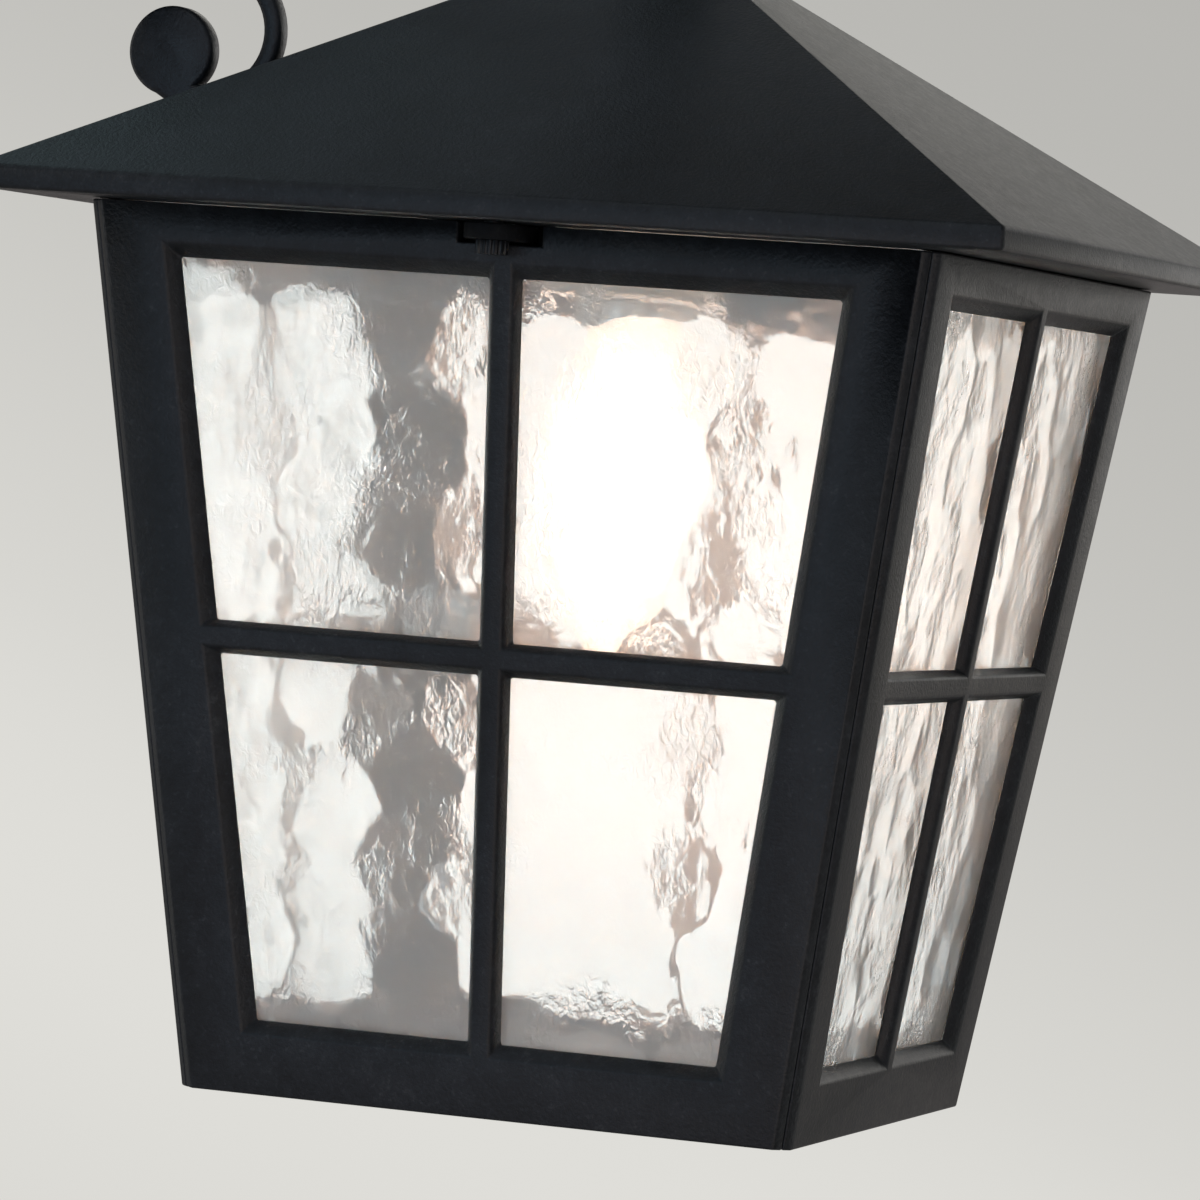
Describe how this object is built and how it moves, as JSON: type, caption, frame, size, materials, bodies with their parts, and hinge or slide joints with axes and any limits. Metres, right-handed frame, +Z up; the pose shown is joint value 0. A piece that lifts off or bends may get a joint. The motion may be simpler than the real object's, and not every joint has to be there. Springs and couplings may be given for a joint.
{
  "type": "wall lantern",
  "caption": "Square tapered outdoor wall lantern with divided glass sides, a pyramid roof and a candle lamp, hung from a swan neck arm with a scroll.",
  "frame": {"origin": "centre between the two wall fixing holes, on the wall, at the gasket's back face", "axes": "+Z up; the wall is the plane y = 0 and the lantern stands out along -Y; its left side faces -X"},
  "size_m": [0.23, 0.26, 0.3514],
  "materials": {
    "black_coat": "cast aluminium under a fine textured black powder coat",
    "black_steel": "steel under a satin black coat",
    "textured_glass": "clear glass with soft ripples on its back",
    "plated_steel": "zinc plated",
    "brass": "plain",
    "rubber": "matte",
    "white_plastic": "matte",
    "holder_white": "gloss",
    "cable_sheath": "matte",
    "lamp_metal": "bright",
    "lamp_base": "black insulator",
    "lamp_glass": "frosted, lit warm white"
  },
  "bodies": {
    "fixture": {"wall_gasket": "rubber", "back_plate": "black_coat", "terminal_block": "white_plastic", "terminal_screws": "plated_steel", "earth_screw": "brass", "arm_tube": "black_steel", "arm_ferrule": "black_coat", "arm_lock_nut": "plated_steel", "arm_wiring": "cable_sheath", "scroll_bar": "black_steel", "scroll_screws": "plated_steel", "roof": "black_coat", "roof_collar": "black_coat", "roof_seal": "rubber", "hanger_tube": "brass", "roof_lock_nut": "plated_steel", "holder_cap": "holder_white", "holder_body": "holder_white", "holder_sleeve": "brass", "holder_contact": "brass"},
    "cage": {"side_frame_left": "black_coat", "glass_left": "textured_glass", "glass_clips_left": "plated_steel", "side_frame_front": "black_coat", "glass_front": "textured_glass", "glass_clips_front": "plated_steel", "side_frame_right": "black_coat", "glass_right": "textured_glass", "glass_clips_right": "plated_steel", "side_frame_back": "black_coat", "glass_back": "textured_glass", "glass_clips_back": "plated_steel", "clip_screws": "plated_steel", "corner_brackets": "plated_steel", "corner_screws": "plated_steel", "base_tray": "black_coat", "base_screws": "plated_steel", "clamp_tab_left": "black_coat", "clamp_tab_right": "black_coat", "tab_screws": "plated_steel"},
    "thumb_left": {"thumb_screw_left": "black_steel"},
    "thumb_right": {"thumb_screw_right": "black_steel"},
    "lamp": {"lamp_cap": "lamp_metal", "lamp_contact": "lamp_base", "lamp_glass": "lamp_glass"}
  },
  "joints": [
    {"name": "cage_drop", "type": "slide", "parent": "fixture", "child": "cage", "axis": [0, 0, -1], "range_m": [0, 0.115]},
    {"name": "thumb_screw_left_turn", "type": "hinge", "parent": "cage", "child": "thumb_left", "pos_m": [-0.1004, -0.1442, -0.104], "axis": [0, 0, 1], "continuous": true},
    {"name": "thumb_screw_right_turn", "type": "hinge", "parent": "cage", "child": "thumb_right", "pos_m": [0.1004, -0.1442, -0.104], "axis": [0, 0, 1], "continuous": true},
    {"name": "lamp_out", "type": "slide", "parent": "fixture", "child": "lamp", "axis": [0, 0, -1], "range_m": [0, 0.04]}
  ]
}
